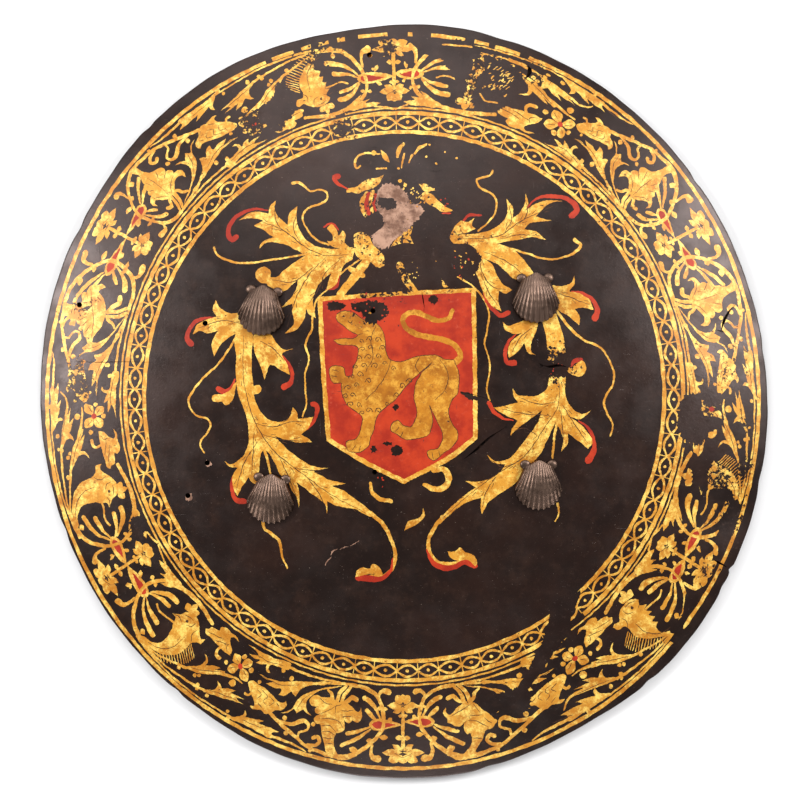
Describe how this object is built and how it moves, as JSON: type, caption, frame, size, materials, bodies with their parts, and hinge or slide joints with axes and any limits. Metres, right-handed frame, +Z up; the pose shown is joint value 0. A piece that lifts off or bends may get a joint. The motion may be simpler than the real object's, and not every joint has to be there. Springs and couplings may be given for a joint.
{
  "type": "round shield",
  "caption": "Round domed wooden parade shield with a black painted and gilt face, a red escutcheon, a scrolling border and cast scallop-shell rivets; lies on its rim, face up.",
  "frame": {"origin": "middle of the rim's underside, on the surface that the shield lies on", "axes": "+Z up out of the painted face, +Y towards the top of the painting, +X to the viewer's right"},
  "size_m": [0.568, 0.589, 0.0649],
  "materials": {
    "painted_wood": "near-black paint with gilt and red ornament, varnished, cracked and worn; plain dark wood behind",
    "dark_bronze": "cast, dark brown-grey patina, rubbed brighter on the ribs"
  },
  "bodies": {
    "root": {"shield_board": "painted_wood", "scallop_rivet_upper_left": "dark_bronze", "scallop_rivet_upper_right": "dark_bronze", "scallop_rivet_lower_left": "dark_bronze", "scallop_rivet_lower_right": "dark_bronze"}
  },
  "joints": []
}
